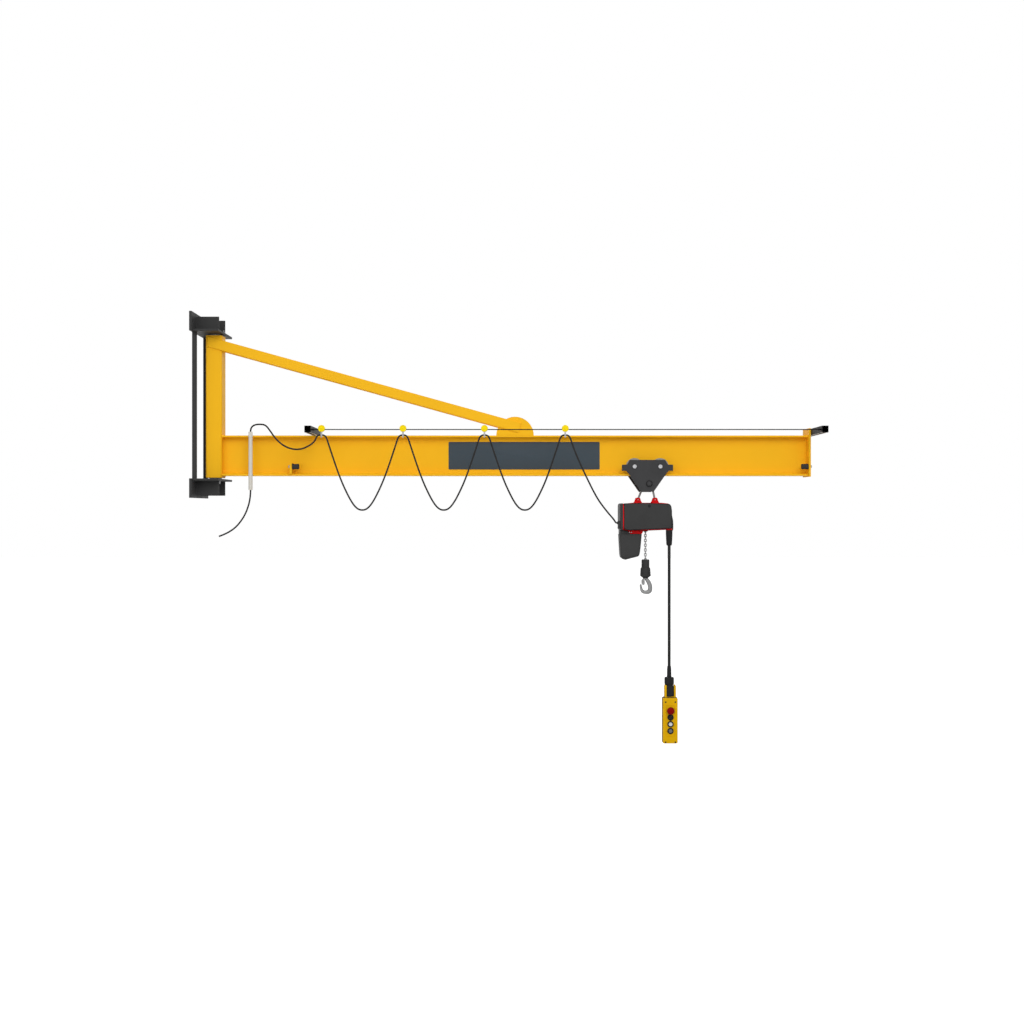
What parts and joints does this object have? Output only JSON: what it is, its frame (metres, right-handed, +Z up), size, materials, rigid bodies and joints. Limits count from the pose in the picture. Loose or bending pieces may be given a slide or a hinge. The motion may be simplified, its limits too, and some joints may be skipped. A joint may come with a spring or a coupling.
{
  "type": "wall mounted slewing jib crane with chain hoist",
  "caption": "Wall-mounted slewing jib: braced I-beam on a pivoting column, trolley with electric chain hoist and swivel hook, festooned supply cable and hanging push-button pendant.",
  "frame": {"origin": "centre of the lower wall plate's back face, on the wall", "axes": "+X out from the wall along the jib, +Z up, +Y to the far side of the jib"},
  "size_m": [3.08, 0.5225, 2.1225],
  "materials": {
    "crane_yellow": "satin paint over welded steel",
    "bracket_paint": "satin dark grey paint",
    "bright_steel": "machined steel",
    "wheel_steel": "turned steel",
    "trolley_paint": "satin anthracite paint",
    "rail_steel": "black coated rail, plain underside",
    "wire_steel": "stranded galvanised wire",
    "conduit_plastic": "light grey plastic tube",
    "panel_grey": "bare slate grey plate",
    "carrier_plastic": "bright yellow moulding",
    "cable_sheath": "black cable sheath",
    "buffer_rubber": "black rubber",
    "hoist_paint": "fine textured dark paint on castings",
    "hoist_red": "satin red paint on castings",
    "bag_plastic": "dark moulded plastic",
    "moulded_black": "black moulded rubber",
    "pendant_yellow": "yellow moulded plastic",
    "button_red": "red plastic",
    "button_black": "black plastic",
    "button_white": "white plastic",
    "button_grey": "grey plastic",
    "chain_steel": "zinc plated chain",
    "hook_steel": "zinc plated forging",
    "block_paint": "dark textured paint"
  },
  "bodies": {
    "wall_bracket": {"upper_wall_plate": "bracket_paint", "lower_wall_plate": "bracket_paint", "bearing_plates": "bracket_paint", "side_plates": "bracket_paint", "spacer_bars": "bracket_paint", "pivot_pins": "bright_steel"},
    "jib": {"column": "crane_yellow", "bearing_blocks": "crane_yellow", "beam": "crane_yellow", "end_plate": "crane_yellow", "tie_bars": "crane_yellow", "gusset_plates": "crane_yellow", "stop_plates": "crane_yellow", "buffers": "buffer_rubber", "festoon_arms": "rail_steel", "guide_wire": "wire_steel", "conduit": "conduit_plastic", "name_panel": "panel_grey", "end_clamp": "carrier_plastic", "supply_tail": "cable_sheath", "lead_in": "cable_sheath"},
    "festoon_1": {"carrier_1": "carrier_plastic", "loop_1": "cable_sheath"},
    "festoon_2": {"carrier_2": "carrier_plastic", "loop_2": "cable_sheath"},
    "festoon_3": {"carrier_3": "carrier_plastic", "loop_3": "cable_sheath"},
    "trolley": {"front_side_plate": "trolley_paint", "back_side_plate": "trolley_paint", "axles": "bright_steel", "cross_pin": "trolley_paint", "bail": "bright_steel", "hoist_housing": "hoist_paint", "hoist_band": "hoist_red", "hoist_end_cap": "hoist_paint", "hoist_motor_cover": "hoist_paint", "hoist_lugs": "hoist_red", "chain_chute": "hoist_red", "chain_bag": "bag_plastic", "cable_inlet": "moulded_black", "pendant_sleeve": "moulded_black", "pendant_cable": "cable_sheath", "pendant_boot": "moulded_black", "pendant_hoop": "pendant_yellow", "pendant_box": "pendant_yellow", "button_rings": "button_black", "last_span": "cable_sheath"},
    "wheel_front_left": {"wheel_1": "wheel_steel"},
    "wheel_front_right": {"wheel_2": "wheel_steel"},
    "wheel_back_left": {"wheel_3": "wheel_steel"},
    "wheel_back_right": {"wheel_4": "wheel_steel"},
    "stop_button": {"stop_button": "button_red"},
    "push_button_1": {"button_1": "button_black"},
    "push_button_2": {"button_2": "button_white"},
    "push_button_3": {"button_3": "button_grey"},
    "hook_block": {"chain": "chain_steel", "hook_block": "block_paint"},
    "hook": {"hook": "hook_steel"},
    "latch": {"latch": "hook_steel"}
  },
  "joints": [
    {"name": "jib_slew", "type": "hinge", "parent": "wall_bracket", "child": "jib", "pos_m": [0.09, 0, 0], "axis": [0, 0, 1], "range_deg": [-60, 85]},
    {"name": "trolley_travel", "type": "slide", "parent": "jib", "child": "trolley", "axis": [1, 0, 0], "range_m": [-1.594, 0.632], "deforming": ["last_span"]},
    {"name": "carrier_1_slide", "type": "slide", "parent": "jib", "child": "festoon_1", "axis": [1, 0, 0], "range_m": [-0.35, 0.1448], "deforming": ["loop_1"]},
    {"name": "carrier_2_slide", "type": "slide", "parent": "jib", "child": "festoon_2", "axis": [1, 0, 0], "range_m": [-0.69, 0.2796], "deforming": ["loop_2"]},
    {"name": "carrier_3_slide", "type": "slide", "parent": "jib", "child": "festoon_3", "axis": [1, 0, 0], "range_m": [-1.027, 0.4132], "deforming": ["loop_3"]},
    {"name": "wheel_front_left_roll", "type": "hinge", "parent": "trolley", "child": "wheel_front_left", "pos_m": [2.1782, -0.043, 0.1087], "axis": [0, 1, 0], "range_deg": [-2529, 1015]},
    {"name": "wheel_front_right_roll", "type": "hinge", "parent": "trolley", "child": "wheel_front_right", "pos_m": [2.3058, -0.043, 0.1087], "axis": [0, 1, 0], "range_deg": [-2529, 1015]},
    {"name": "wheel_back_left_roll", "type": "hinge", "parent": "trolley", "child": "wheel_back_left", "pos_m": [2.1782, 0.043, 0.1087], "axis": [0, 1, 0], "range_deg": [-2529, 1015]},
    {"name": "wheel_back_right_roll", "type": "hinge", "parent": "trolley", "child": "wheel_back_right", "pos_m": [2.3058, 0.043, 0.1087], "axis": [0, 1, 0], "range_deg": [-2529, 1015]},
    {"name": "stop_button_press", "type": "slide", "parent": "trolley", "child": "stop_button", "axis": [0, 1, 0], "range_m": [0, 0.003], "stiffness_N_per_m": 300},
    {"name": "push_button_1_press", "type": "slide", "parent": "trolley", "child": "push_button_1", "axis": [0, 1, 0], "range_m": [0, 0.003], "stiffness_N_per_m": 300},
    {"name": "push_button_2_press", "type": "slide", "parent": "trolley", "child": "push_button_2", "axis": [0, 1, 0], "range_m": [0, 0.003], "stiffness_N_per_m": 300},
    {"name": "push_button_3_press", "type": "slide", "parent": "trolley", "child": "push_button_3", "axis": [0, 1, 0], "range_m": [0, 0.003], "stiffness_N_per_m": 300},
    {"name": "hook_lift", "type": "slide", "parent": "trolley", "child": "hook_block", "axis": [0, 0, 1], "range_m": [-0.05, 0.05]},
    {"name": "hook_swivel", "type": "hinge", "parent": "hook_block", "child": "hook", "pos_m": [2.238, 0, -0.45], "axis": [0, 0, 1], "continuous": true},
    {"name": "latch_pivot", "type": "hinge", "parent": "hook", "child": "latch", "pos_m": [2.229, 0, -0.4605], "axis": [0, -1, 0], "range_deg": [0, 35], "stiffness_Nm_per_rad": 0.02}
  ],
  "couplings": [
    {"joint": "carrier_1_slide", "follows": "trolley_travel", "ratio": 0.2133},
    {"joint": "carrier_2_slide", "follows": "trolley_travel", "ratio": 0.4266},
    {"joint": "carrier_3_slide", "follows": "trolley_travel", "ratio": 0.638},
    {"joint": "wheel_front_left_roll", "follows": "trolley_travel", "rad_per_m": 27.473},
    {"joint": "wheel_front_right_roll", "follows": "trolley_travel", "rad_per_m": 27.473},
    {"joint": "wheel_back_left_roll", "follows": "trolley_travel", "rad_per_m": 27.473},
    {"joint": "wheel_back_right_roll", "follows": "trolley_travel", "rad_per_m": 27.473}
  ]
}
